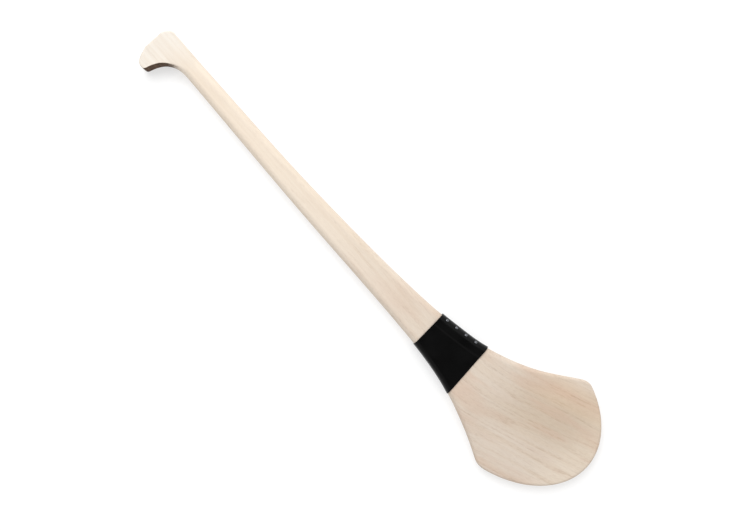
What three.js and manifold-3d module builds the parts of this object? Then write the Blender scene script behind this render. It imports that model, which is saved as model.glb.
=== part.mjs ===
// A child's hurley: a stick made from one plank of ash, with a black metal band tacked round its neck.
// It lies on its back. +X runs from the butt to the toe, +Y to the high corner of the bas,
// and +Z comes up out of the front face. All lengths are in millimetres.

import * as THREE from "three";
import { mergeVertices } from "three/addons/utils/BufferGeometryUtils.js";
import Module from "manifold-3d";

const { lerp, smoothstep, degToRad } = THREE.MathUtils;

// The whole stick, and the handle
const stickLength = 609.6;
const handleWidth = 19.4;
const handleThickness = 17.5;
const handleEdgeReach = 6.5;
const handleEdgeDepth = 7.8;
const handleEnd = 360;

// The butt, and the hooked heel below it
const buttRise = 10.4;
const buttCornerLength = 9;
const buttFlatLength = 20;
const buttLength = 26;
const buttEdgeRound = 1.4;
const heelDrop = 37;
const heelRoundLength = 12;
const heelLength = 17.3;
const heelTipHeight = 3.1;
const crookEnd = 50;

// The neck and the bas
const neckThickness = 17;
const neckEdgeReach = 5.5;
const neckEdgeDepth = 7;
const basRise = 88.3;
const basDrop = 50.9;
const basRimThickness = 6.2;
const basMiddleThickness = 10;
const basEdgeReach = 3;
const upperCornerSetback = 70;
const lowerCornerSetback = 81;
const toeReach = 106;
const toeTurn = degToRad(6.4);
const toeUpperAngle = degToRad(58);
const toeLowerAngle = degToRad(-72);

// The band: a strip of sheet whose outer end laps over its inner end on the neck's upper edge
const bandStart = 399.2;
const bandLength = 57.8;
const bandStartLean = degToRad(4.3);
const bandEndLean = degToRad(7.1);
const bandMargin = 8;
const sheetThickness = 0.5;
const seatGap = 0.3;
const lapGap = 0.12;
const lapReach = 4.5;
const lapClearance = 0.8;
const lapRise = 3;

// The tacks, in a row on the lap
const tackCount = 4;
const firstTackPlace = 404.8;
const tackPitch = 11.7;
const tackHeadRadius = 1.6;
const tackHeadHeight = 0.8;
const tackShankRadius = 0.6;
const tackPointLength = 2.5;
const tackLength = 10;
const tackClearance = 0.3;

// How far round the front shoulder the tacks sit, from the wall at 0 to the face at 1
const tackTurnShare = 0.6;

// The pulls of the butt's curves: shares of the way across and up from a curve's start to its end
const buttCornerShares = [[0, 0.2], [0.46, 1]];
const heelRoundShares = [[0.2, 0.4], [0.35, 1]];
const heelTipShares = [[0.6, 0], [0.88, 0.35]];
const crookShares = [[0.12, 0.63], [0.34, 1]];

// The toe's ellipse is this much wider than the bas, because the corners cut its ends off
const toeBreadthShare = 1.07;

// How the outline opens from the handle to the corners of the bas. Each row gives a share of the
// stick's length, then the shares of the way out to the upper corner and to the lower corner.
const flareShares = [
  [0.08, 0, 0],
  [0.36, 0.015, 0.11],
  [0.62, 0.14, 0.16],
  [0.68, 0.21, 0.2],
  [0.74, 0.315, 0.32],
  [0.82, 0.59, 0.66],
  [0.89, 0.985, 1.09],
];

// Number of steps along each stretch of the outline, round each edge and across each face
const steps = {
  buttCorner: 6,
  heelRound: 5,
  heelTip: 4,
  crook: 12,
  handle: 16,
  neck: 8,
  basSide: 9,
  basCorner: 4,
  toe: 14,
  edge: 5,
  face: 4,
  tack: 16,
};

// Sizes worked out from the ones above
const handleHalf = handleWidth / 2;
const bandEnd = bandStart + bandLength;
const neckStart = bandStart - bandMargin;
const neckEnd = bandEnd + bandMargin;
const basWidth = basRise + basDrop;
const buttHalfThickness = neckThickness / 2 + seatGap + sheetThickness;
const upperCornerStart = stickLength - upperCornerSetback;
const lowerCornerStart = stickLength - lowerCornerSetback;

// Smooth curves through the two columns of the flare table
const alongPlaces = flareShares.map(([along]) => along * stickLength);
const upperFlare = new THREE.CubicInterpolant(alongPlaces, flareShares.map((row) => row[1]), 1);
const lowerFlare = new THREE.CubicInterpolant(alongPlaces, flareShares.map((row) => row[2]), 1);

function upperEdgeHeight(x) {
  return lerp(handleHalf, basRise, upperFlare.evaluate(x)[0]);
}

function lowerEdgeHeight(x) {
  return -lerp(handleHalf, basDrop, lowerFlare.evaluate(x)[0]);
}

// An edge of the handle, neck or bas between two places along the stick
class EdgeCurve extends THREE.Curve {
  constructor(heightAt, startX, endX) {
    super();
    this.heightAt = heightAt;
    this.startX = startX;
    this.endX = endX;
  }

  getPoint(t) {
    const x = lerp(this.startX, this.endX, t);
    return new THREE.Vector2(x, this.heightAt(x));
  }
}

// A rounded corner that leaves one curve and meets the next without a kink
function cornerBetween(before, after) {
  const start = before.getPoint(1);
  const end = after.getPoint(0);
  const leaving = before.getTangent(1);
  const meeting = after.getTangent(0);
  const gap = end.clone().sub(start);
  const reach = gap.cross(meeting) / leaving.cross(meeting);
  const corner = start.clone().addScaledVector(leaving, reach);
  return new THREE.QuadraticBezierCurve(start, corner, end);
}

// A curve between two points, drawn towards two pulls
function curveBetween(start, end, pullShares) {
  const pulls = pullShares.map(([across, up]) => {
    return new THREE.Vector2(lerp(start.x, end.x, across), lerp(start.y, end.y, up));
  });
  return new THREE.CubicBezierCurve(start, ...pulls, end);
}

// The butt: its rounded top corner above the axis, and its flat end, heel and crook below
function buttStretches() {
  const axis = new THREE.Vector2(0, 0);
  const flatEnd = new THREE.Vector2(0, -buttFlatLength);
  const heelBottom = new THREE.Vector2(heelRoundLength, -heelDrop);
  const heelTip = new THREE.Vector2(heelLength, heelTipHeight - heelDrop);
  const crookMouth = new THREE.Vector2(crookEnd, lowerEdgeHeight(crookEnd));

  const cornerEnd = new THREE.Vector2(buttCornerLength, buttRise);
  const topEnd = new THREE.Vector2(crookEnd, upperEdgeHeight(crookEnd));
  const topLine = new THREE.LineCurve(cornerEnd, topEnd);
  const aboveBottom = topLine.getPoint(heelRoundLength / crookEnd / 2);
  const aboveTip = topLine.getPoint(heelLength / crookEnd);
  return [
    {
      upper: curveBetween(axis, cornerEnd, buttCornerShares),
      lower: new THREE.LineCurve(axis, flatEnd),
      steps: steps.buttCorner,
    },
    {
      upper: new THREE.LineCurve(cornerEnd, aboveBottom),
      lower: curveBetween(flatEnd, heelBottom, heelRoundShares),
      steps: steps.heelRound,
    },
    {
      upper: new THREE.LineCurve(aboveBottom, aboveTip),
      lower: curveBetween(heelBottom, heelTip, heelTipShares),
      steps: steps.heelTip,
    },
    {
      upper: new THREE.LineCurve(aboveTip, topEnd),
      lower: curveBetween(heelTip, crookMouth, crookShares),
      steps: steps.crook,
    },
  ];
}

// A stretch of the handle, neck or bas, which may end at different places on its two edges
function sideStretch(startX, upperEndX, lowerEndX, stepCount) {
  return {
    upper: new EdgeCurve(upperEdgeHeight, startX, upperEndX),
    lower: new EdgeCurve(lowerEdgeHeight, startX, lowerEndX),
    steps: stepCount,
  };
}

// The toe is an ellipse, turned a little, whose two arcs meet at the tip of the stick
function toeStretch() {
  const middleY = (basRise - basDrop) / 2;
  const halfWidth = (toeBreadthShare * basWidth) / 2;
  const tipAngle = Math.atan2(-halfWidth * Math.sin(toeTurn), toeReach * Math.cos(toeTurn));
  const reach = Math.hypot(toeReach * Math.cos(toeTurn), halfWidth * Math.sin(toeTurn));
  const middleX = stickLength - reach;
  const arcFrom = (angle, clockwise) =>
    new THREE.EllipseCurve(middleX, middleY, toeReach, halfWidth, angle, tipAngle, clockwise, toeTurn);
  return { upper: arcFrom(toeUpperAngle, true), lower: arcFrom(toeLowerAngle, false), steps: steps.toe };
}

// The neck, which runs a little past both ends of the band
const neckStretch = sideStretch(neckStart, neckEnd, neckEnd, steps.neck);

// The outline as matching stretches of its upper and lower edges, from the butt to the toe
function stickStretches() {
  const handle = sideStretch(crookEnd, neckStart, neckStart, steps.handle);
  const basSide = sideStretch(neckEnd, upperCornerStart, lowerCornerStart, steps.basSide);
  const toe = toeStretch();
  const basCorner = {
    upper: cornerBetween(basSide.upper, toe.upper),
    lower: cornerBetween(basSide.lower, toe.lower),
    steps: steps.basCorner,
  };
  return [...buttStretches(), handle, neckStretch, basSide, basCorner, toe];
}

// A rib joins a point of the upper edge to one of the lower edge, each with its outward direction
function ribAt(stretch, t) {
  const upperAlong = stretch.upper.getTangent(t);
  const lowerAlong = stretch.lower.getTangent(t);
  return {
    upper: { point: stretch.upper.getPoint(t), outward: new THREE.Vector2(-upperAlong.y, upperAlong.x) },
    lower: { point: stretch.lower.getPoint(t), outward: new THREE.Vector2(lowerAlong.y, -lowerAlong.x) },
  };
}

function ribsOf(stretch) {
  const ribs = [];
  for (let step = 0; step <= stretch.steps; step += 1) {
    ribs.push(ribAt(stretch, step / stretch.steps));
  }
  return ribs;
}

// A size that changes from the butt to the handle, the neck and the rim of the bas
function alongStick(x, butt, handle, neck, rim) {
  const gripped = lerp(butt, handle, smoothstep(x, buttLength, crookEnd));
  const necked = lerp(gripped, neck, smoothstep(x, handleEnd, neckStart));
  return lerp(necked, rim, smoothstep(x, neckEnd, upperCornerStart));
}

function halfThicknessAt(x) {
  return alongStick(x, buttHalfThickness, handleThickness / 2, neckThickness / 2, basRimThickness / 2);
}

function edgeReachAt(x) {
  return alongStick(x, buttEdgeRound, handleEdgeReach, neckEdgeReach, basEdgeReach);
}

function edgeDepthAt(x) {
  return alongStick(x, buttEdgeRound, handleEdgeDepth, neckEdgeDepth, basRimThickness / 2);
}

// The faces of the bas swell towards its middle, with the square of its width
function crownAt(x, width) {
  const fullCrown = (basMiddleThickness - basRimThickness) / 2;
  const inBas = smoothstep(x, neckEnd, upperCornerStart);
  return fullCrown * inBas * (width / basWidth) ** 2;
}

// Where an edge's rounding has turned in from the wall, moved outwards by an offset
function edgePlan({ point, outward }, turn, offset) {
  const reach = edgeReachAt(point.x) + offset;
  const inset = reach * (1 - Math.cos((turn * Math.PI) / 2));
  return point.clone().addScaledVector(outward, offset - inset);
}

// A point of the surface on a rib. The stop says which face it is on (1 front, -1 back), how far the
// edge has turned from the wall (0) to the face (1), and how far across it is from the upper edge (0)
// to the lower edge (1).
function surfacePoint(rib, stop, offset) {
  const upper = edgePlan(rib.upper, stop.turn, offset);
  const lower = edgePlan(rib.lower, stop.turn, offset);
  const width = upper.distanceTo(lower);
  const { x, y } = upper.lerp(lower, stop.across);
  const depth = edgeDepthAt(x);
  const wall = halfThicknessAt(x) - depth;
  const swell = 4 * stop.across * (1 - stop.across) * crownAt(x, width);
  const height = wall + (depth + offset) * Math.sin((stop.turn * Math.PI) / 2) + swell;
  return new THREE.Vector3(x, y, stop.face * height);
}

// The stops of one rounded edge, from the back face round to the front face
function edgeStops(across) {
  const front = [];
  for (let step = 0; step <= steps.edge; step += 1) {
    front.push({ face: 1, turn: step / steps.edge, across });
  }
  const back = front.map((stop) => ({ ...stop, face: -1 })).reverse();
  return [...back, ...front];
}

// The stops of a full turn: the upper edge, the front face, the lower edge and the back face
function ringStops() {
  const frontFace = [];
  for (let step = 1; step < steps.face; step += 1) {
    frontFace.push({ face: 1, turn: 1, across: step / steps.face });
  }
  const backFace = frontFace.map((stop) => ({ ...stop, face: -1 })).reverse();
  return [...edgeStops(0), ...frontFace, ...edgeStops(1).reverse(), ...backFace];
}

// Solids are cut as merged triangle meshes, without the triangles that a pinched end has collapsed
const wasm = await Module();
wasm.setup();

function solidFrom(geometry) {
  geometry.deleteAttribute("normal");
  geometry.deleteAttribute("uv");
  const { attributes, index } = mergeVertices(geometry);
  const triVerts = [];
  for (let first = 0; first < index.count; first += 3) {
    const corners = index.array.slice(first, first + 3);
    if (new Set(corners).size === corners.length) {
      triVerts.push(...corners);
    }
  }
  const mesh = new wasm.Mesh({
    numProp: 3,
    vertProperties: attributes.position.array,
    triVerts: Uint32Array.from(triVerts),
  });
  return new wasm.Manifold(mesh);
}

function geometryOf(solid) {
  const { vertProperties, triVerts } = solid.getMesh();
  const geometry = new THREE.BufferGeometry();
  geometry.setAttribute("position", new THREE.BufferAttribute(vertProperties, 3));
  geometry.setIndex(new THREE.BufferAttribute(triVerts, 1));
  geometry.computeVertexNormals();
  return geometry;
}

// A solid skinned over closed loops of points, whose first and last loops are pinched flat, so that
// each point meets its partner there and the triangles between them vanish
function solidOverLoops(loops) {
  const size = loops[0].length;
  const indices = [];
  for (let row = 0; row < loops.length - 1; row += 1) {
    for (let column = 0; column < size; column += 1) {
      const here = row * size + column;
      const next = row * size + ((column + 1) % size);
      indices.push(here, next, next + size, here, next + size, here + size);
    }
  }
  const geometry = new THREE.BufferGeometry().setFromPoints(loops.flat());
  geometry.setIndex(indices);
  return solidFrom(geometry);
}

// The stick's ribs all the way from the butt to the tip of the toe, closed to nothing at both ends
function stickRibs() {
  const [first, ...others] = stickStretches().map(ribsOf);
  const ribs = [...first, ...others.flatMap((stretchRibs) => stretchRibs.slice(1))];
  ribs[0].lower = ribs[0].upper;
  ribs.at(-1).lower = ribs.at(-1).upper;
  return ribs;
}

function stickSolid(ribs) {
  const stops = ringStops();
  return solidOverLoops(ribs.map((rib) => stops.map((stop) => surfacePoint(rib, stop, 0))));
}

// The band's strip runs from under the lap on the front face over the upper edge, round the back
// and the lower edge, and up the front face again to its lap, which ends on the upper edge's wall.
// Each stop also gives its layer, and on the front face how far in from the upper edge it is.
function bandStops() {
  const upperEdge = edgeStops(0).reverse();
  const wallEnd = upperEdge.findIndex((stop) => stop.face < 0) + 1;
  const onFace = (inward, layer) => ({ face: 1, turn: 1, inward, layer });
  return [
    onFace(lapReach, 0),
    ...upperEdge.map((stop) => ({ ...stop, layer: 0 })),
    ...edgeStops(1).map((stop) => ({ ...stop, layer: 0 })),
    onFace(lapReach + lapClearance + lapRise, 0),
    onFace(lapReach + lapClearance, 1),
    ...upperEdge.slice(0, wallEnd).map((stop) => ({ ...stop, layer: 1 })),
  ];
}

// A point of the band on a rib, from its inner side at depth 0 to its outer side at depth 1
function bandPoint(rib, stop, depth) {
  const faceWidth = edgePlan(rib.upper, 1, 0).distanceTo(edgePlan(rib.lower, 1, 0));
  const across = stop.across ?? stop.inward / faceWidth;
  const offset = seatGap + stop.layer * (sheetThickness + lapGap) + depth * sheetThickness;
  return surfacePoint(rib, { ...stop, across }, offset);
}

function bandLoop(rib, innerDepth, outerDepth) {
  const stops = bandStops();
  const inner = stops.map((stop) => bandPoint(rib, stop, innerDepth));
  const outer = stops.map((stop) => bandPoint(rib, stop, outerDepth));
  return [...inner, ...outer.reverse()];
}

// Cuts off a solid at a leaning line across the stick, toward the bas for side 1 and the butt for -1
function trimmed(solid, x, lean, side) {
  const inward = [-side * Math.cos(lean), -side * Math.sin(lean), 0];
  return solid.trimByPlane(inward, -side * Math.cos(lean) * x);
}

// The strip is skinned over the whole neck, and then its two ends are cut straight
function bandSolid() {
  const ribs = ribsOf(neckStretch);
  const [startEdge, endEdge] = [ribs[0], ribs.at(-1)].map((rib) => bandLoop(rib, 1 / 2, 1 / 2));
  const strip = solidOverLoops([startEdge, ...ribs.map((rib) => bandLoop(rib, 0, 1)), endEdge]);
  return trimmed(trimmed(strip, bandStart, bandStartLean, -1), bandEnd, bandEndLean, 1);
}

// The seat of one tack: a point on the lap's outer side, and the direction straight out of the
// wood's rounded edge there
function tackSeat(index) {
  const x = firstTackPlace + index * tackPitch;
  const rib = ribAt(neckStretch, (x - neckStart) / (neckEnd - neckStart));
  const stop = { face: 1, turn: tackTurnShare, across: 0, layer: 1 };
  const point = bandPoint(rib, stop, 1);
  const angle = (tackTurnShare * Math.PI) / 2;
  const flat = rib.upper.outward.clone().multiplyScalar(Math.cos(angle) / edgeReachAt(x));
  const rise = Math.sin(angle) / edgeDepthAt(x);
  return { point, outward: new THREE.Vector3(flat.x, flat.y, rise).normalize() };
}

// A tack: a domed head on a round shank that tapers to a point, standing on its head's underside
function tackGeometry() {
  const profile = new THREE.Path();
  profile.moveTo(0, -tackLength);
  profile.lineTo(tackShankRadius, tackPointLength - tackLength);
  profile.lineTo(tackShankRadius, 0);
  profile.lineTo(tackHeadRadius, 0);
  profile.absellipse(0, 0, tackHeadRadius, tackHeadHeight, 0, Math.PI / 2);
  return new THREE.LatheGeometry(profile.getPoints(steps.edge), steps.tack);
}

// The hole that a tack is driven into, from above its head to just past its point
function tackHole({ point, outward }) {
  const radius = tackShankRadius + tackClearance;
  const mouth = tackHeadHeight + tackClearance;
  const length = mouth + tackLength + tackClearance;
  const hole = new THREE.CylinderGeometry(radius, radius, length, steps.tack);
  hole.translate(0, mouth - length / 2, 0);
  hole.applyQuaternion(new THREE.Quaternion().setFromUnitVectors(THREE.Object3D.DEFAULT_UP, outward));
  hole.translate(point.x, point.y, point.z);
  return solidFrom(hole);
}

function withHoles(solid, seats) {
  return seats.reduce((rest, seat) => rest.subtract(tackHole(seat)), solid);
}

// Materials
function sandedAsh() {
  return new THREE.MeshStandardMaterial({ color: "#ead8bf", roughness: 0.62, metalness: 0 });
}

function blackPaint() {
  return new THREE.MeshStandardMaterial({ color: "#101011", roughness: 0.3, metalness: 0 });
}

function bluedSteel() {
  return new THREE.MeshStandardMaterial({ color: "#6a6b70", roughness: 0.15, metalness: 1 });
}

function named(name, geometry, material) {
  const mesh = new THREE.Mesh(geometry, material);
  mesh.name = name;
  return mesh;
}

// The assembly
const ribs = stickRibs();
const seats = Array.from({ length: tackCount }, (_, index) => tackSeat(index));
const hurley = new THREE.Group();
hurley.add(named("ash_stick", geometryOf(withHoles(stickSolid(ribs), seats)), sandedAsh()));
hurley.add(named("band", geometryOf(withHoles(bandSolid(), seats)), blackPaint()));
seats.forEach(({ point, outward }, index) => {
  const tack = named(`band_tack_${index + 1}`, tackGeometry(), bluedSteel());
  tack.position.copy(point).addScaledVector(outward, tackClearance);
  tack.quaternion.setFromUnitVectors(tack.up, outward);
  hurley.add(tack);
});

// The origin is under the middle of the outline, on the plane that the butt and the band lie on
const outlinePoints = ribs.flatMap(({ upper, lower }) => [upper.point, lower.point]);
const middle = new THREE.Box2().setFromPoints(outlinePoints).getCenter(new THREE.Vector2());
hurley.position.set(-middle.x, -middle.y, buttHalfThickness);

export default hurley;
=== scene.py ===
# A child's hurley: a stick made from one plank of ash, with a black metal band tacked round its neck.
# It lies on its back on a pale studio floor, seen from straight above.
# Sizes are in millimetres until a mesh is made. Along the stick they count from the butt, and across
# it from the middle of the handle.

import bmesh
import bpy
import numpy as np
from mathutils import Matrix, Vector


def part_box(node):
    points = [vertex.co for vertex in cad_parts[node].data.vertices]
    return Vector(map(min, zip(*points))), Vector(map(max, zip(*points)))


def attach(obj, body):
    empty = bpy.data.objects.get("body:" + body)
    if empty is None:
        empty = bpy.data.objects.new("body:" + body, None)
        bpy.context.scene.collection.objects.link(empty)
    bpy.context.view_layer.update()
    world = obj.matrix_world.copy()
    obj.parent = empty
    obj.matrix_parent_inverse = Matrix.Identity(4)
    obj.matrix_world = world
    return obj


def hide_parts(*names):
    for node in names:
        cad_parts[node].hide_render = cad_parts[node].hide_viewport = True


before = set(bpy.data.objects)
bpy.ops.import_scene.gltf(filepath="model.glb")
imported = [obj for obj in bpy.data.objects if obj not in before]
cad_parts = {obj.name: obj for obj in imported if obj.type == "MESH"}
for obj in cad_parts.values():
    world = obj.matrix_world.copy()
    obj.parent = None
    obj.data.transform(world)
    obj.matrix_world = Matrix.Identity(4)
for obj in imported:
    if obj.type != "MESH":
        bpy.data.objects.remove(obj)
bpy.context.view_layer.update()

# The ash stick: one plank of pale ash, sawn to its outline so that the grain sweeps round into the
# bas, shaved thin there, and sanded smooth all over. The edges of the handle are rounded for the hands,
# and the hooked heel at the butt keeps its crisp edges.
metres = 0.001
stick_low, stick_high = (np.array(corner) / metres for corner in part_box("ash_stick"))
stick_length = stick_high[0] - stick_low[0]

handle_half = 9.7
butt_rise = 10.4
butt_corner_length = 9
butt_flat_length = 20
butt_length = 26
heel_drop = 37
heel_round_length = 12
heel_length = 17.3
heel_tip_height = 3.1
crook_end = 50
handle_end = 360
neck_start = 391.2
neck_end = 465

bas_rise = 88.3
bas_drop = 50.9
bas_crown = 1.9
upper_corner_start = stick_length - 70
lower_corner_start = stick_length - 81
toe_reach = 106
toe_breadth_share = 1.07
toe_turn = np.radians(6.4)
toe_upper_angle = np.radians(58)
toe_lower_angle = np.radians(-72)

# The pulls of the butt's curves, as shares of the way across and up from a curve's start to its end
butt_corner_shares = ((0, 0.2), (0.46, 1))
heel_round_shares = ((0.2, 0.4), (0.35, 1))
heel_tip_shares = ((0.6, 0), (0.88, 0.35))
crook_shares = ((0.12, 0.63), (0.34, 1))

# Shares of the stick's length, then of the way out to the upper and the lower corner of the bas
flare_shares = np.array([
    (0.08, 0, 0),
    (0.36, 0.015, 0.11),
    (0.62, 0.14, 0.16),
    (0.68, 0.21, 0.2),
    (0.74, 0.315, 0.32),
    (0.82, 0.59, 0.66),
    (0.89, 0.985, 1.09),
])

# Each of these is given at the butt, the handle, the neck and the rim of the bas
half_thickness = (9.3, 8.75, 8.5, 3.1)
edge_reach = (1.4, 6.5, 5.5, 3)
edge_depth = (1.4, 7.8, 7, 3.1)

# Steps along the outline, round an edge and across a face
butt_steps, round_steps, tip_steps, crook_steps = 24, 16, 10, 48
side_steps, corner_steps, toe_steps = 220, 20, 100
edge_steps, face_steps = 14, 24


def edge_height(x, column, corner_height):
    """The height of an edge at x: from the handle's half width to the corner's height by the share of
    the flare there, which a cubic curve joins. Its slope at a row is the mean of the slopes to the
    rows on either side."""
    places, shares = flare_shares[:, 0] * stick_length, flare_shares[:, column]
    rates = np.diff(shares) / np.diff(places)
    slopes = (np.append(rates[0], rates) + np.append(rates, rates[-1])) / 2
    row = np.clip(np.searchsorted(places, x) - 1, 0, len(places) - 2)
    gap = places[row + 1] - places[row]
    t = np.clip((x - places[row]) / gap, 0, 1)
    share = (1 + 2 * t) * (1 - t) ** 2 * shares[row] + t * (1 - t) ** 2 * gap * slopes[row]
    share += t * t * (3 - 2 * t) * shares[row + 1] - t * t * (1 - t) * gap * slopes[row + 1]
    return handle_half + share * (corner_height - handle_half)


def upper_height(x):
    return edge_height(x, 1, bas_rise)


def lower_height(x):
    return -edge_height(x, 2, bas_drop)


def steps(count):
    return np.linspace(0, 1, count + 1)


def line(start, end, count):
    """Points at equal steps from start to end."""
    return start + steps(count)[:, None] * (end - start)


def curve(start, end, pull_shares, count):
    """A cubic Bezier curve from start to end. Each pull is given as shares of the way across and up."""
    points = np.array([start, *(start + np.array(pull) * (end - start) for pull in pull_shares), end])
    t = steps(count)[:, None]
    weights = np.hstack([(1 - t) ** 3, 3 * t * (1 - t) ** 2, 3 * t * t * (1 - t), t ** 3])
    return weights @ points


def corner(before, after, count):
    """A quadratic Bezier curve that leaves one run of points and meets the next, each along its line."""
    leaving, meeting = before[-1] - before[-2], after[1] - after[0]
    reach = np.linalg.solve(np.stack([leaving, -meeting], axis=1), after[0] - before[-1])
    middle = before[-1] + reach[0] * leaving
    t = steps(count)[:, None]
    return (1 - t) ** 2 * before[-1] + 2 * t * (1 - t) * middle + t * t * after[0]


def edge_run(height, start, end, count):
    """An edge of the handle, neck or bas between two places along the stick."""
    x = np.linspace(start, end, count + 1)
    return np.stack([x, height(x)], axis=1)


def toe_arc(start_angle, count):
    """An arc of the toe's turned ellipse, from an angle on it to the tip of the stick."""
    half_width = toe_breadth_share * (bas_rise + bas_drop) / 2
    tip_angle = np.arctan2(-half_width * np.sin(toe_turn), toe_reach * np.cos(toe_turn))
    reach = np.hypot(toe_reach * np.cos(toe_turn), half_width * np.sin(toe_turn))
    angle = np.linspace(start_angle, tip_angle, count + 1)
    along, across = toe_reach * np.cos(angle), half_width * np.sin(angle)
    x = stick_length - reach + along * np.cos(toe_turn) - across * np.sin(toe_turn)
    y = (bas_rise - bas_drop) / 2 + along * np.sin(toe_turn) + across * np.cos(toe_turn)
    return np.stack([x, y], axis=1)


def chained(runs):
    """Runs of points end to end, without the point that each shares with the one before it."""
    return np.vstack([runs[0], *(run[1:] for run in runs[1:])])


def outline():
    """The upper and lower edges of the stick as rows of matching points, from the butt to the tip."""
    axis, flat_end = np.array([0, 0]), np.array([0, -butt_flat_length])
    heel_bottom = np.array([heel_round_length, -heel_drop])
    heel_tip = np.array([heel_length, heel_tip_height - heel_drop])
    crook_mouth = np.array([crook_end, lower_height(crook_end)])
    corner_end = np.array([butt_corner_length, butt_rise])
    top_end = np.array([crook_end, upper_height(crook_end)])

    # The places on the upper edge that pair with the heel's bottom and with its tip
    above_bottom = corner_end + heel_round_length / crook_end / 2 * (top_end - corner_end)
    above_tip = corner_end + heel_length / crook_end * (top_end - corner_end)

    upper_side = edge_run(upper_height, crook_end, upper_corner_start, side_steps)
    lower_side = edge_run(lower_height, crook_end, lower_corner_start, side_steps)
    upper_toe, lower_toe = toe_arc(toe_upper_angle, toe_steps), toe_arc(toe_lower_angle, toe_steps)
    upper = chained([
        curve(axis, corner_end, butt_corner_shares, butt_steps),
        line(corner_end, above_bottom, round_steps),
        line(above_bottom, above_tip, tip_steps),
        line(above_tip, top_end, crook_steps),
        upper_side,
        corner(upper_side, upper_toe, corner_steps),
        upper_toe,
    ])
    lower = chained([
        line(axis, flat_end, butt_steps),
        curve(flat_end, heel_bottom, heel_round_shares, round_steps),
        curve(heel_bottom, heel_tip, heel_tip_shares, tip_steps),
        curve(heel_tip, crook_mouth, crook_shares, crook_steps),
        lower_side,
        corner(lower_side, lower_toe, corner_steps),
        lower_toe,
    ])
    return upper, lower


upper_edge, lower_edge = outline()

# The CAD cuts the corners of the bas in coarser steps, so the outline is drawn in across the stick, by
# 0.04%, to keep inside its box
outline_top, outline_bottom = upper_edge[:, 1].max(), lower_edge[:, 1].min()
width_fit = (stick_high[1] - stick_low[1]) / (outline_top - outline_bottom)
handle_middle = (stick_low[0], stick_high[1] - width_fit * outline_top, (stick_low[2] + stick_high[2]) / 2)


def from_stick(points):
    """Points counted from the butt and the handle's middle, moved to the object's own place."""
    return points * (1, width_fit, 1) + handle_middle


def outward(points, side):
    """Unit vectors square to a run of points, to the left of it for side 1 and to the right for -1."""
    along = np.gradient(points, axis=0)
    along /= np.linalg.norm(along, axis=1, keepdims=True)
    return side * np.stack([-along[:, 1], along[:, 0]], axis=1)


def smooth_step(x, start, end):
    """0 up to the start, 1 from the end on, and a cubic between them: 3t² - 2t³."""
    t = np.clip((x - start) / (end - start), 0, 1)
    return t * t * (3 - 2 * t)


def along_stick(x, sizes):
    """A size that changes in smooth steps from the butt to the handle, the neck and the bas's rim."""
    butt, handle, neck, rim = sizes
    size = butt + (handle - butt) * smooth_step(x, butt_length, crook_end)
    size = size + (neck - size) * smooth_step(x, handle_end, neck_start)
    return size + (rim - size) * smooth_step(x, neck_end, upper_corner_start)


def skin(upper, lower, stops, offset=0.0):
    """The stick's skin, moved out by an offset, as a grid of points. Each row is a pair of matching
    points on the two edges, with their outward vectors. Each column is a stop: the side it is on
    (1 front, -1 back), how far the edge has turned from its wall at 0 to the face at 1, and how far
    it is across from the upper edge at 0 to the lower at 1. An edge turns as a quarter ellipse. The
    faces of the bas swell by a parabola across them, as high as the square of their width gives."""
    side, turn, across = stops
    sunk, risen = 1 - np.cos(turn * np.pi / 2), np.sin(turn * np.pi / 2)

    def plan(points, out):
        inset = (along_stick(points[:, :1], edge_reach) + offset) * sunk
        return points[:, None] + out[:, None] * (offset - inset)[..., None]

    above, below = plan(*upper), plan(*lower)
    flat = above + across[..., None] * (below - above)
    x = flat[..., 0]
    width = np.linalg.norm(above - below, axis=2)
    crown = bas_crown * smooth_step(x, neck_end, upper_corner_start) * (width / (bas_rise + bas_drop)) ** 2
    depth = along_stick(x, edge_depth)
    height = along_stick(x, half_thickness) - depth + (depth + offset) * risen
    height = height + 4 * across * (1 - across) * crown
    return np.concatenate([flat, (side * height)[..., None]], axis=2)


def edge_stops(across):
    """The stops of one rounded edge from the back face round to the front face, one row for each of
    side, turn and across."""
    turn = steps(edge_steps)
    ones = np.ones_like(turn)
    return np.array([[*-ones, *ones], [*turn[::-1], *turn], [across] * 2 * len(turn)])


def face_stops(side, across):
    """The stops across a flat face."""
    return np.array([np.full_like(across, side), np.ones_like(across), across])


def wrapped_faces(rows, columns):
    """Quads over a grid whose last column joins its first."""
    index = np.arange(rows * columns).reshape(rows, columns)
    beside = np.roll(index, -1, axis=1)
    quads = [index[:-1], beside[:-1], beside[1:], index[1:]]
    return np.stack(quads, axis=-1).reshape(-1, 4)


def sheet_faces(rows, columns):
    """Quads over an open grid."""
    index = np.arange(rows * columns).reshape(rows, columns)
    quads = [index[:-1, :-1], index[:-1, 1:], index[1:, 1:], index[1:, :-1]]
    return np.stack(quads, axis=-1).reshape(-1, 4)


# Points no further apart than this meet
meeting = 0.0001


def piece(name, points, faces, material, node):
    """A smooth mesh object that stands for a CAD node. Points that meet are joined, so that pinched
    ends close, and faces are turned to point outwards."""
    mesh = bpy.data.meshes.new(name)
    mesh.from_pydata((points * metres).reshape(-1, 3).tolist(), [], faces.tolist())
    joined = bmesh.new()
    joined.from_mesh(mesh)
    bmesh.ops.remove_doubles(joined, verts=joined.verts, dist=meeting * metres)
    bmesh.ops.recalc_face_normals(joined, faces=joined.faces)
    joined.to_mesh(mesh)
    joined.free()
    mesh.shade_smooth()
    mesh.materials.append(material)
    made = bpy.data.objects.new(name, mesh)
    bpy.context.scene.collection.objects.link(made)
    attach(made, "root")
    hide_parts(node)
    return made


def linear(colour):
    """An sRGB hex colour as linear red, green, blue and alpha."""
    values = np.array([int(colour[i:i + 2], 16) for i in (1, 3, 5)]) / 255
    low = values <= 0.04045
    return (*np.where(low, values / 12.92, ((values + 0.055) / 1.055) ** 2.4), 1.0)


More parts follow.
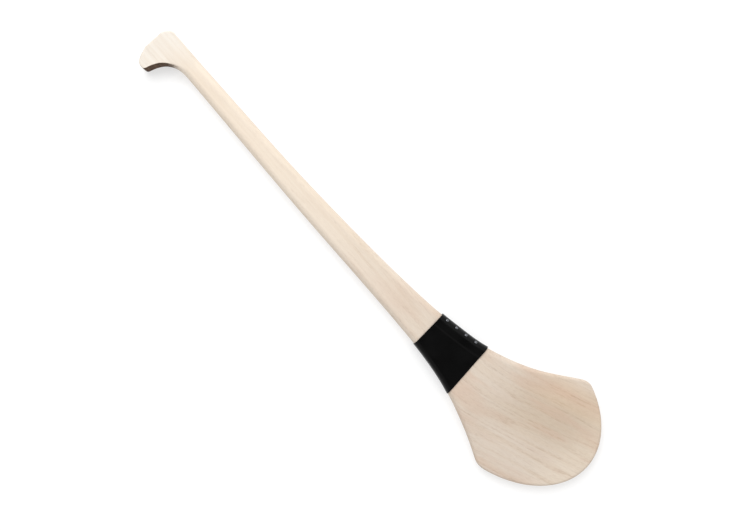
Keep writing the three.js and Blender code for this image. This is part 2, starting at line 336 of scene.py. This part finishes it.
def add(tree, kind, links=None, **settings):
    """A new node. Links gives each socket a number, a colour, another node or one of its outputs. Of a
    node, it takes the first output in use. Sockets 6 and 7 of a Mix node are its two colours."""
    node = tree.nodes.new(kind)
    for key, value in settings.items():
        setattr(node, key, value)
    for socket, value in (links or {}).items():
        if isinstance(value, bpy.types.Node):
            value = next(output for output in value.outputs if output.enabled)
        if isinstance(value, bpy.types.NodeSocket):
            tree.links.new(value, node.inputs[socket])
        else:
            node.inputs[socket].default_value = value
    return node


def empty_material(name):
    material = bpy.data.materials.new(name)
    material.use_nodes = True
    material.node_tree.nodes.clear()
    return material, material.node_tree


# Sanded ash is a pale, ring-porous wood, left without a finish. Each year's ring starts with a band of
# open pores, a shade darker and duller than the smooth wood after it, which shows more in some places
# than in others. Some pores are drawn 1 mm wide, three times their real width, to show from afar. End
# grain drinks in light. The tight curve under the heel, which faces away from the light, is painted dark
# brown as shade, broken into stripes. The butt and the handle are the palest, then the toe, and darker
# heartwood with a warm blush beside it runs along the fibres through the bas.
ring_width = 4.8
ring_wander = 8
# The size of the stripes in the painted shade under the heel
shade_stripe_size = (0.8, 0.8, 50)
pore_depth = 0.1
early_wood_depth = 0.4 * pore_depth


def sanded_ash():
    material, tree = empty_material("sanded_ash")
    place = add(tree, "ShaderNodeAttribute", attribute_name="plank_place").outputs["Vector"]
    end_grain = add(tree, "ShaderNodeAttribute", attribute_name="end_grain").outputs["Fac"]
    heel_shade = add(tree, "ShaderNodeAttribute", attribute_name="painted_heel_shade").outputs["Fac"]
    axes = add(tree, "ShaderNodeSeparateXYZ", {0: place}).outputs
    masks = {}

    # Each noise has grains of these sizes along the fibres, out from the heart and round it, and is
    # stretched from this range to 0 to 1
    for name, grain, low, high in (
        ("drift", (160, 26, 26), 0.2, 0.8),
        ("wide_pores", (12, 0.9, 1.1), 0.55, 0.69),
        ("fine_pores", (4, 0.3, 0.35), 0.5, 0.65),
        ("streaks", (220, 5, 5), 0.3, 0.7),
        ("blotches", (70, 26, 26), 0.42, 0.68),
        ("distinct", (60, 9, 9), 0.35, 0.65),
    ):
        grains = add(tree, "ShaderNodeVectorMath", {0: place, 1: 1 / np.array(grain)}, operation="MULTIPLY")
        noise = add(tree, "ShaderNodeTexNoise", {"Vector": grains, "Scale": 1.0, "Detail": 2.0})
        masks[name] = add(tree, "ShaderNodeMapRange", {"Value": noise, "From Min": low, "From Max": high},
                          interpolation_type="SMOOTHSTEP")

    # How far through its year's growth the wood is, where the rings wander a little along the plank
    rings = add(tree, "ShaderNodeMath", {0: masks["drift"], 1: ring_wander, 2: axes["Y"]},
                operation="MULTIPLY_ADD")
    rings = add(tree, "ShaderNodeMath", {0: rings, 1: ring_width}, operation="DIVIDE")
    growth = add(tree, "ShaderNodeMath", {0: rings}, operation="FRACT")

    # Places along the fibres and through a year where something comes or goes
    for name, value, low, high in (
        ("toward_handle", axes["X"], 5, 60),
        ("toward_bas", axes["X"], 150, 530),
        ("near_bas", axes["X"], 480, 540),
        ("toward_toe", axes["X"], 560, 605),
        ("spring", growth, 0, 0.12),
        ("summer", growth, 0.12, 0.7),
    ):
        masks[name] = add(tree, "ShaderNodeMapRange", {"Value": value, "From Min": low, "From Max": high},
                          interpolation_type="SMOOTHSTEP")

    # Stripes that follow the fibres through the bas, between these distances from the heart
    for name, start, full, fading, end in (
        ("heartwood", 260, 290, 302, 326),
        ("blush", 298, 308, 318, 332),
    ):
        inside = add(tree, "ShaderNodeMapRange", {"Value": axes["Y"], "From Min": start, "From Max": full},
                     interpolation_type="SMOOTHSTEP")
        beyond = add(tree, "ShaderNodeMapRange", {"Value": axes["Y"], "From Min": fading, "From Max": end},
                     interpolation_type="SMOOTHSTEP")
        stripe = add(tree, "ShaderNodeMath", {0: inside, 1: beyond}, operation="SUBTRACT")
        masks[name] = add(tree, "ShaderNodeMath", {0: stripe, 1: masks["near_bas"]}, operation="MULTIPLY")

    blotches = add(tree, "ShaderNodeMath", {0: masks["blotches"], 1: masks["toward_bas"]},
                   operation="MULTIPLY")

    # The early wood of each ring nearly fades away in places. Pores crowd it, and are under half as
    # strong in the rest of the ring. Both show less in the handle than in the bas
    early = add(tree, "ShaderNodeMath", {0: masks["spring"], 1: masks["summer"]}, operation="SUBTRACT")
    distinct = add(tree, "ShaderNodeMapRange", {"Value": masks["distinct"], "To Min": 0.15})
    early = add(tree, "ShaderNodeMath", {0: early, 1: distinct}, operation="MULTIPLY")
    crowded = add(tree, "ShaderNodeMapRange", {"Value": early, "To Min": 0.5, "To Max": 1.2})
    pores = add(tree, "ShaderNodeMath", {0: masks["wide_pores"], 1: masks["fine_pores"]},
                operation="MAXIMUM")
    pores = add(tree, "ShaderNodeMath", {0: pores, 1: crowded}, operation="MULTIPLY")
    shown = add(tree, "ShaderNodeMapRange", {"Value": masks["toward_bas"], "To Min": 0.35})
    early_shown = add(tree, "ShaderNodeMath", {0: early, 1: shown}, operation="MULTIPLY")
    pores_shown = add(tree, "ShaderNodeMath", {0: pores, 1: shown}, operation="MULTIPLY")

    # Stripes run straight through the plank, 0.8 mm apart, and break up the painted shade under the heel
    across_plank = add(tree, "ShaderNodeTexCoord").outputs["Object"]
    across_plank = add(tree, "ShaderNodeVectorMath", {0: across_plank, 1: 1 / np.array(shade_stripe_size) / metres},
                       operation="MULTIPLY")
    marks = add(tree, "ShaderNodeTexNoise", {"Vector": across_plank, "Scale": 1.0, "Detail": 2.0})
    marks = add(tree, "ShaderNodeMapRange", {"Value": marks, "From Min": 0.35, "From Max": 0.65})
    striped_heel_shade = add(tree, "ShaderNodeMath", {0: marks, 1: heel_shade}, operation="MULTIPLY")

    # Each colour lies over the ones before it, at its mask times a strength
    body = linear("#dfd8ce")
    for mask, strength, colour in (
        (masks["toward_handle"], 1, "#dfd2c2"),
        (masks["toward_bas"], 1, "#d0c3b5"),
        (masks["heartwood"], 1, "#c2b3a1"),
        (masks["blush"], 0.5, "#cbb399"),
        (masks["toward_toe"], 0.5, "#e2d5c3"),
        (masks["streaks"], 0.2, "#c6b096"),
        (blotches, 0.3, "#c39e88"),
        (early_shown, 0.14, "#b3957a"),
        (pores_shown, 0.28, "#8f7156"),
        (end_grain, 0.3, "#8a6f54"),
        # Painted shade: the hook's inner wall, which faces away from the light, darkened to brown, with
        # darker stripes
        (heel_shade, 0.95, "#4c2f12"),
        (striped_heel_shade, 1, "#301a05"),
    ):
        weight = add(tree, "ShaderNodeMath", {0: mask, 1: strength}, operation="MULTIPLY")
        body = add(tree, "ShaderNodeMix", {0: weight, 6: body, 7: linear(colour)}, data_type="RGBA")

    dents = add(tree, "ShaderNodeMath", {0: early, 1: early_wood_depth / pore_depth, 2: pores},
                operation="MULTIPLY_ADD")
    bump = add(tree, "ShaderNodeBump", {"Strength": 0.5, "Distance": pore_depth * metres, "Height": dents},
               invert=True)
    dull = add(tree, "ShaderNodeMath", {0: pores, 1: heel_shade}, operation="MAXIMUM")
    dull = add(tree, "ShaderNodeMapRange", {"Value": dull, "To Min": 0.55, "To Max": 0.85})
    shader = add(tree, "ShaderNodeBsdfPrincipled", {"Base Color": body, "Roughness": dull, "IOR": 1.5,
                                                    "Specular IOR Level": 0.3, "Normal": bump})
    add(tree, "ShaderNodeOutputMaterial", {"Surface": shader})
    return material


stick_stops = np.hstack([
    edge_stops(0),
    face_stops(1, steps(face_steps)[1:-1]),
    edge_stops(1)[:, ::-1],
    face_stops(-1, steps(face_steps)[-2:0:-1]),
])

# The two edges meet at the butt and at the tip of the toe, and share one way out there
upper_outward, lower_outward = outward(upper_edge, 1), outward(lower_edge, -1)
lower_outward[[0, -1]] = upper_outward[[0, -1]]
stick_points = skin((upper_edge, upper_outward), (lower_edge, lower_outward), stick_stops)
ash_stick = piece("ash_stick_sanded", from_stick(stick_points), wrapped_faces(*stick_points.shape[:2]),
                  sanded_ash(), "ash_stick")

# The fibres run straight up the handle and lean over between these places, to sweep into the bas.
# The heart of the tree lay this far across from the handle's middle and this far below it.
sweep_start = 425
sweep_end = 525
sweep_slope = 0.37
heart_across = -200
heart_below = 200

# The inner curve of the hook, which faces away from the light, is painted dark as shade, less and less
# from here to where the handle starts. The painted shade begins and is full where the wall faces this much
# toward the bas.
heel_shade_end = 26
heel_shade_gone = 42
heel_shade_facing = (0.1, 0.5)


def plank_places(points):
    """Where points lie in the tree: along the fibres, out from its heart and round it. Across the
    fibres is y less what a fibre has climbed, and its slope grows steadily through the sweep."""
    x, y, z = points.T
    swept = np.clip((x - sweep_start) / (sweep_end - sweep_start), 0, None)
    turned = np.minimum(swept, 1)
    climb = sweep_slope * (sweep_end - sweep_start) * (turned ** 2 / 2 + swept - turned)
    across = y - climb - heart_across
    out = np.hypot(across, z + heart_below)
    around = out * np.arctan2(across, z + heart_below)
    fibre = np.stack([np.ones_like(x), sweep_slope * turned, np.zeros_like(x)], axis=1)
    return np.stack([x, out, around], axis=1), fibre / np.linalg.norm(fibre, axis=1, keepdims=True)


def give_grain(made):
    """Writes to each vertex its place in the tree, how squarely its fibres are cut there, as the square
    of the cosine between fibre and normal, and how much painted shade it gets under the heel."""
    mesh = made.data
    points, normals = (np.empty(len(mesh.vertices) * 3, np.float32) for _ in range(2))
    mesh.vertices.foreach_get("co", points)
    mesh.vertex_normals.foreach_get("vector", normals)
    points, normals = points.reshape(-1, 3) / metres - handle_middle, normals.reshape(-1, 3)
    places, fibres = plank_places(points)
    mesh.attributes.new("plank_place", "FLOAT_VECTOR", "POINT").data.foreach_set("vector", places.ravel())
    cut = (normals * fibres).sum(axis=1) ** 2
    mesh.attributes.new("end_grain", "FLOAT", "POINT").data.foreach_set("value", cut)
    # Painted shade on the hook's inner wall, where it faces toward the bas and away from the light
    heel_shade = smooth_step(normals[:, 0], *heel_shade_facing)
    heel_shade = heel_shade * (1 - smooth_step(points[:, 0], heel_shade_end, heel_shade_gone))
    mesh.attributes.new("painted_heel_shade", "FLOAT", "POINT").data.foreach_set("value", heel_shade)


give_grain(ash_stick)


# The band: a strip of thin sheet steel in satin black paint, bent round the neck, with its outer end
# lapped over its inner end on the front shoulder of the upper edge. Its two edges are sheared straight,
# and lean a little.
band_start = 399.2
band_length = 57.8
band_start_lean = np.radians(4.3)
band_end_lean = np.radians(7.1)
sheet_thickness = 0.5
seat_gap = 0.3
lap_gap = 0.12
lap_reach = 4.5
lap_clearance = 0.8
lap_rise = 3
dimple_depth = 0.22
dimple_radius = 2.6
rim_round = 0.12
too_close = 0.06

# Steps along the neck, across the strip under its lap, across its back and across its front
band_rows, under_steps, back_steps, front_steps = 60, 6, 16, 40


def satin_black_paint():
    """Sprayed paint over steel: deep black, with a faint peel and duller smears that blur its gloss.
    A noise's scale is its grains to the metre: the peel's are 1.1 mm wide and the smears' 17 mm."""
    material, tree = empty_material("satin_black_paint")
    place = add(tree, "ShaderNodeTexCoord").outputs["Object"]
    peel = add(tree, "ShaderNodeTexNoise", {"Vector": place, "Scale": 900.0, "Detail": 2.0})
    smears = add(tree, "ShaderNodeTexNoise", {"Vector": place, "Scale": 60.0, "Detail": 4.0})
    dull = add(tree, "ShaderNodeMapRange", {"Value": smears, "From Min": 0.3, "From Max": 0.7,
                                            "To Min": 0.26, "To Max": 0.34})
    bump = add(tree, "ShaderNodeBump", {"Strength": 0.25, "Distance": 0.06 * metres, "Height": peel})
    shader = add(tree, "ShaderNodeBsdfPrincipled", {"Base Color": linear("#040404"), "Roughness": dull,
                                                    "IOR": 1.45, "Specular IOR Level": 0.18,
                                                    "Normal": bump})
    add(tree, "ShaderNodeOutputMaterial", {"Surface": shader})
    return material


def tack_axes():
    """The head's top and the way out of each tack, from its CAD node: the long axis of its points."""
    found = []
    for name in sorted(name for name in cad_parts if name.startswith("band_tack")):
        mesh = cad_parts[name].data
        points = np.empty(len(mesh.vertices) * 3, np.float32)
        mesh.vertices.foreach_get("co", points)
        points = points.reshape(-1, 3) / metres
        middle = points.mean(axis=0)
        axis = np.linalg.svd(points - middle, full_matrices=False)[2][0]
        axis = axis * np.sign(axis[2])
        found.append((name, middle + axis * ((points - middle) @ axis).max(), axis))
    return found


def band_points():
    """The middle of the sheet as a grid: its rows go along the neck, and its columns follow the strip
    from under the lap over the upper edge, round the back and the lower edge, and up the front to the
    lap, which rises onto the first layer and ends on the upper edge's wall. It is dimpled at each
    tack by a bell curve of the distance from it."""
    x = np.linspace(neck_start, neck_end, band_rows + 1)
    upper, lower = (np.stack([x, height(x)], axis=1) for height in (upper_height, lower_height))
    upper, lower = (upper, outward(upper, 1)), (lower, outward(lower, -1))

    over_edge = edge_stops(0)[:, ::-1]
    wall_end = over_edge.shape[1] // 2 + 1
    inward = steps(front_steps)[1:-1]
    stops = np.hstack([
        face_stops(1, steps(under_steps)[:0:-1]),
        over_edge,
        face_stops(-1, steps(back_steps)[1:-1]),
        edge_stops(1),
        face_stops(1, inward[::-1]),
        over_edge[:, :wall_end],
    ])
    side, turn, across = stops[0], stops[1], np.tile(stops[2], (len(x), 1))
    face = skin(upper, lower, np.array([[1, 1], [1, 1], [0, 1]]))
    face_width = np.linalg.norm(face[:, 0] - face[:, 1], axis=1)[:, None]
    across[:, :under_steps] *= lap_reach / face_width

    layer = np.zeros_like(across)
    lapped = len(side) - wall_end - len(inward)
    lap_foot = lap_reach + lap_clearance
    layer[:, lapped:] = 1 - smooth_step(across[:, lapped:] * face_width, lap_foot, lap_foot + lap_rise)
    offset = seat_gap + sheet_thickness / 2 + layer * (sheet_thickness + lap_gap)
    points = from_stick(skin(upper, lower, (side, turn, across), offset))
    for _, top, _ in tack_axes():
        distance = np.linalg.norm(points - top, axis=2)
        offset = offset - dimple_depth * np.exp(-(distance / dimple_radius) ** 2)
    return from_stick(skin(upper, lower, (side, turn, across), offset))


def shear(made, place, lean, beyond):
    """Cuts a mesh along a leaning straight line that crosses the stick at a place, and drops what is
    beyond it: 1 toward the bas, -1 toward the butt. Corners that the cut brings too close are joined."""
    cut = bmesh.new()
    cut.from_mesh(made.data)
    bmesh.ops.bisect_plane(cut, geom=[*cut.verts, *cut.edges, *cut.faces], clear_outer=True,
                           plane_co=from_stick(np.array([place, 0, 0])) * metres,
                           plane_no=(beyond * np.cos(lean), beyond * np.sin(lean), 0))
    bmesh.ops.remove_doubles(cut, verts=cut.verts, dist=too_close * metres)
    cut.to_mesh(made.data)
    cut.free()


strip = band_points()
band = piece("band_sheet", strip, sheet_faces(*strip.shape[:2]), satin_black_paint(), "band")
shear(band, band_start, band_start_lean, -1)
shear(band, band_start + band_length, band_end_lean, 1)
thick = band.modifiers.new("sheet", "SOLIDIFY")
thick.thickness = sheet_thickness * metres
thick.offset = 0
rims = band.modifiers.new("rims", "BEVEL")
rims.width = rim_round * metres
rims.segments = 2
rims.limit_method = "ANGLE"
rims.angle_limit = np.radians(60)


# Four tacks in a row hold the lap down: blued steel, with low domed heads, driven through both layers
# of the sheet into the wood. A skirt under each head seats it in its dimple.
head_radius = 1.6
head_height = 0.8
head_rim = 0.1
head_skirt = 0.45
shank_radius = 0.6
point_length = 2.5
tack_length = 10
dome_steps = 10
turn_steps = 40


def blued_steel():
    """Heat-blued steel that the hammer has worn to grey, and polished bright enough to glint. Its marks
    are 0.7 mm wide, at 1500 to the metre."""
    material, tree = empty_material("blued_steel")
    place = add(tree, "ShaderNodeTexCoord").outputs["Object"]
    marks = add(tree, "ShaderNodeTexNoise", {"Vector": place, "Scale": 1500.0, "Detail": 3.0})
    tint = add(tree, "ShaderNodeMix", {0: marks, 6: linear("#55565a"), 7: linear("#7c7e82")},
               data_type="RGBA")
    bump = add(tree, "ShaderNodeBump", {"Strength": 0.3, "Distance": 0.05 * metres, "Height": marks})
    shader = add(tree, "ShaderNodeBsdfPrincipled", {"Base Color": tint, "Metallic": 1.0, "Roughness": 0.13,
                                                    "Normal": bump})
    add(tree, "ShaderNodeOutputMaterial", {"Surface": shader})
    return material


def tack_points(top, axis):
    """A profile of distances from the axis and heights turned round the axis. The dome is a quarter
    ellipse, and the profile goes on under the head's skirt and down the shank to its point."""
    angle = steps(dome_steps) * np.pi / 2
    radii = [*head_radius * np.sin(angle), head_radius, head_radius - head_rim, shank_radius, shank_radius, 0]
    heights = [*head_height * np.cos(angle), head_rim - head_skirt, -head_skirt, -head_skirt,
               point_length - tack_length, -tack_length]
    across = np.cross(axis, (1, 0, 0))
    across = across / np.linalg.norm(across)
    other = np.cross(axis, across)
    turn = steps(turn_steps)[:-1] * 2 * np.pi
    spokes = np.cos(turn)[:, None] * across + np.sin(turn)[:, None] * other
    seat = top - axis * head_height
    return seat + np.array(radii)[:, None, None] * spokes + np.array(heights)[:, None, None] * axis


steel = blued_steel()
for node, top, axis in tack_axes():
    turned = tack_points(top, axis)
    piece(f"{node}_steel", turned, wrapped_faces(*turned.shape[:2]), steel, node)


# The studio: a floor of frosted acrylic lit from below, as on a light table, a hair under the stick. The
# walls are pale, darker to the stick's sides and darkest to the heel's, under a dark ceiling that the
# black paint mirrors. A broad softbox beyond the butt gives the light its direction.
floor_reach = 20000
floor_drop = 0.2


def frosted_acrylic():
    """A matt white sheet whose glow from below leaves only faint shadows on it."""
    material, tree = empty_material("frosted_acrylic")
    shader = add(tree, "ShaderNodeBsdfPrincipled", {"Base Color": linear("#b4b4b4"), "Roughness": 0.9,
                                                    "Specular IOR Level": 0.1,
                                                    "Emission Color": (1, 1, 1, 1),
                                                    "Emission Strength": 0.55})
    add(tree, "ShaderNodeOutputMaterial", {"Surface": shader})
    return material


floor_corners = np.array([(-1, -1, 0), (1, -1, 0), (1, 1, 0), (-1, 1, 0)]) * floor_reach
floor_mesh = bpy.data.meshes.new("studio_floor")
floor_mesh.from_pydata((floor_corners - (0, 0, floor_drop)) * metres, [], [(0, 1, 2, 3)])
floor_mesh.materials.append(frosted_acrylic())
floor = bpy.data.objects.new("studio_floor", floor_mesh)
bpy.context.scene.collection.objects.link(floor)

# The photograph's right and up, as directions on the floor
picture_turn = np.radians(48.35)
picture_right = np.array([np.cos(picture_turn), np.sin(picture_turn), 0])
picture_up = np.array([-np.sin(picture_turn), np.cos(picture_turn), 0])

# The softbox's place and side in metres, and its watts
softbox_place = -0.4 * picture_right + 1.4 * picture_up + (0, 0, 1.9)
softbox_side = 1.8
softbox_watts = 40
lamp = bpy.data.lights.new("softbox", "AREA")
lamp.size = softbox_side
lamp.energy = softbox_watts
softbox = bpy.data.objects.new("softbox", lamp)
softbox.location = Vector(softbox_place)
softbox.rotation_euler = (-softbox.location).to_track_quat("-Z", "Y").to_euler()
softbox.visible_camera = False
bpy.context.scene.collection.objects.link(softbox)

world = bpy.data.worlds.new("studio")
world.use_nodes = True
walls = world.node_tree
walls.nodes.clear()
direction = add(walls, "ShaderNodeTexCoord").outputs["Generated"]
direction = add(walls, "ShaderNodeSeparateXYZ", {0: direction}).outputs

# Up to the ceiling and out to either side, the light goes from one brightness to another
brightness = 1
for way, start, end, at_start, at_end in (
    ("Z", 0.8, 0.97, 1.24, 0.1),
    ("Y", -0.8, 0, 0.5, 1),
    ("Y", 0, 0.8, 1, 0.75),
):
    shade = add(walls, "ShaderNodeMapRange", {"Value": direction[way], "From Min": start, "From Max": end,
                                              "To Min": at_start, "To Max": at_end},
                interpolation_type="SMOOTHSTEP")
    brightness = add(walls, "ShaderNodeMath", {0: brightness, 1: shade}, operation="MULTIPLY")
background = add(walls, "ShaderNodeBackground", {"Color": (1, 1, 1, 1), "Strength": brightness})
add(walls, "ShaderNodeOutputWorld", {"Surface": background})
bpy.context.scene.world = world
bpy.context.scene.view_settings.view_transform = "Standard"

# The camera looks straight down from where the photograph's perspective puts it
camera_height = 1109.3
camera_along = 315.95
camera_across = 5.74
lens = bpy.data.cameras.new("camera")
lens.sensor_width = 36
lens.lens = 52.45
camera = bpy.data.objects.new("camera", lens)
below_camera = from_stick(np.array([camera_along, camera_across, 0]))
camera.location = Vector((below_camera[0], below_camera[1], camera_height)) * metres
camera.rotation_euler = (0, 0, picture_turn)
bpy.context.scene.collection.objects.link(camera)
bpy.context.scene.camera = camera
